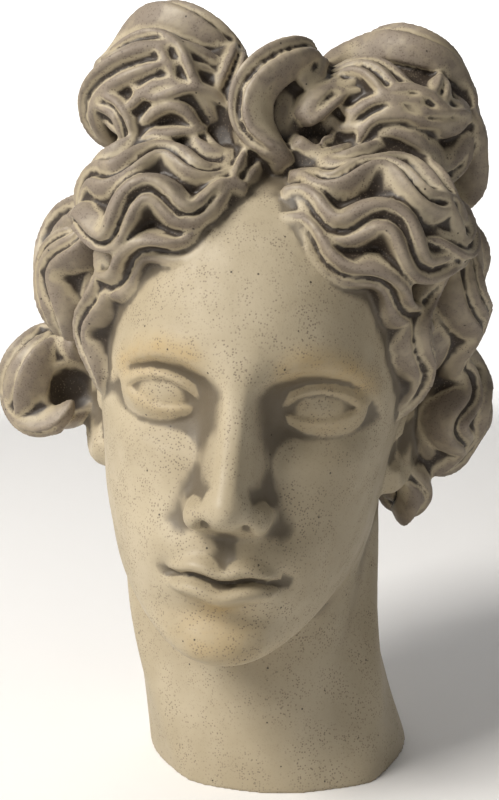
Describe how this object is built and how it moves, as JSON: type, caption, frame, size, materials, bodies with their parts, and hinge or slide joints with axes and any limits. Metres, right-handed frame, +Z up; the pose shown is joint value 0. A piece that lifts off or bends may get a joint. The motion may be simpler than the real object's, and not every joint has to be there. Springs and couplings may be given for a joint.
{
  "type": "portrait bust",
  "caption": "Plaster cast of a youth's head and neck in the classical manner, with wavy hair tied in a bow above the forehead, cut off flat to stand on its own.",
  "frame": {"origin": "middle of the flat underside of the neck", "axes": "+Z up out of the neck towards the crown, the face looks along -Y, +X towards the head's own left ear"},
  "size_m": [0.2327, 0.245, 0.3348],
  "materials": {
    "patinated_plaster": "cast plaster toned grey-beige, satin, darker brown in the grooves of the hair and paler where it is rubbed"
  },
  "bodies": {
    "root": {"bust": "patinated_plaster"}
  },
  "joints": []
}
